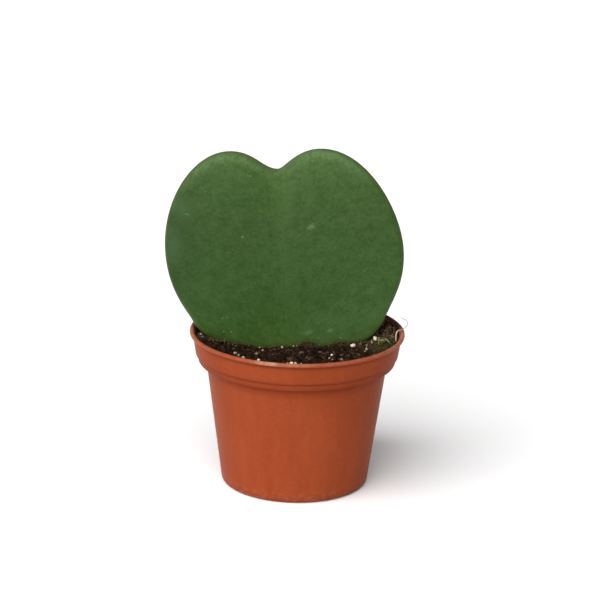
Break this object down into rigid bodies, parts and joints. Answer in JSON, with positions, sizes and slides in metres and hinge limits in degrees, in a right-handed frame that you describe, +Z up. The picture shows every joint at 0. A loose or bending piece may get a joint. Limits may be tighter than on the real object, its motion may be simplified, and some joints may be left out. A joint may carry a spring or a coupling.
{
  "type": "potted hoya plant",
  "caption": "Sweetheart hoya: a rooted fleshy heart-shaped leaf standing in dark potting soil in a small round tapered terracotta-coloured plastic nursery pot.",
  "frame": {"origin": "centre of the pot's underside, on the surface that the pot stands on", "axes": "+Z up, -Y the way the leaf's upper face looks, +X to the right as seen from the front"},
  "size_m": [0.1013, 0.0892, 0.1421],
  "materials": {
    "pot_plastic": "satin",
    "potting_soil": "matte",
    "leaf_green": "satin",
    "root_pale": "matte"
  },
  "bodies": {
    "root": {"pot": "pot_plastic", "soil": "potting_soil", "leaf": "leaf_green", "roots": "root_pale", "root_strand": "root_pale"}
  },
  "joints": []
}
